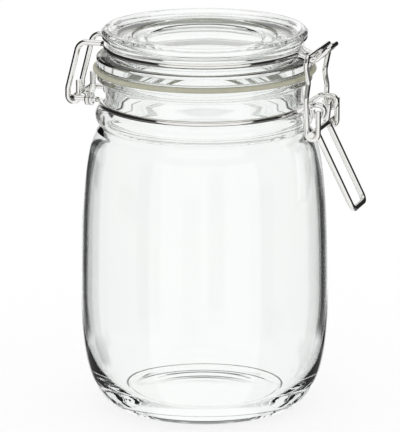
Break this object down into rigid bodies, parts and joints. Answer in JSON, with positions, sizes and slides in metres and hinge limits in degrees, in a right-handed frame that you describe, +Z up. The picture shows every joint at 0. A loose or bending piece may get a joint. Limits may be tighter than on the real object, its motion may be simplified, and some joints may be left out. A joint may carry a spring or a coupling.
{
  "type": "glass preserving jar",
  "caption": "Clear glass storage jar with a bulging body, a hinged glass lid, a rubber sealing ring and a bent-wire lever closure.",
  "frame": {"origin": "under the middle of the bounding box, on the surface the jar stands on; the jar's own axis is 5.2 mm to -X of it", "axes": "+Z up along the jar's axis, +X towards the lever closure, -X towards the lid's hinge"},
  "size_m": [0.134, 0.11, 0.17],
  "materials": {
    "clear_glass": "clear soda-lime glass, polished",
    "sealing_rubber": "pale translucent rubber, satin",
    "steel_wire": "bright drawn stainless steel wire"
  },
  "bodies": {
    "jar": {"glass_body": "clear_glass", "neck_wire": "steel_wire"},
    "lid": {"glass_lid": "clear_glass", "gasket": "sealing_rubber", "lid_wire": "steel_wire"},
    "lever": {"lever": "steel_wire"},
    "bail": {"bail": "steel_wire"}
  },
  "joints": [
    {"name": "lid_hinge", "type": "hinge", "parent": "jar", "child": "lid", "pos_m": [-0.0632, 0, 0.1374], "axis": [0, -1, 0], "range_deg": [0, 190]},
    {"name": "lever_swing", "type": "hinge", "parent": "jar", "child": "lever", "pos_m": [0.0497, 0, 0.1387], "axis": [0, -1, 0], "range_deg": [0, 90]},
    {"name": "bail_swing", "type": "hinge", "parent": "lever", "child": "bail", "pos_m": [0.0486, 0, 0.1295], "axis": [0, -1, 0], "range_deg": [-65, 0]}
  ],
  "couplings": [
    {"joint": "bail_swing", "follows": "lever_swing", "ratio": -0.72}
  ]
}
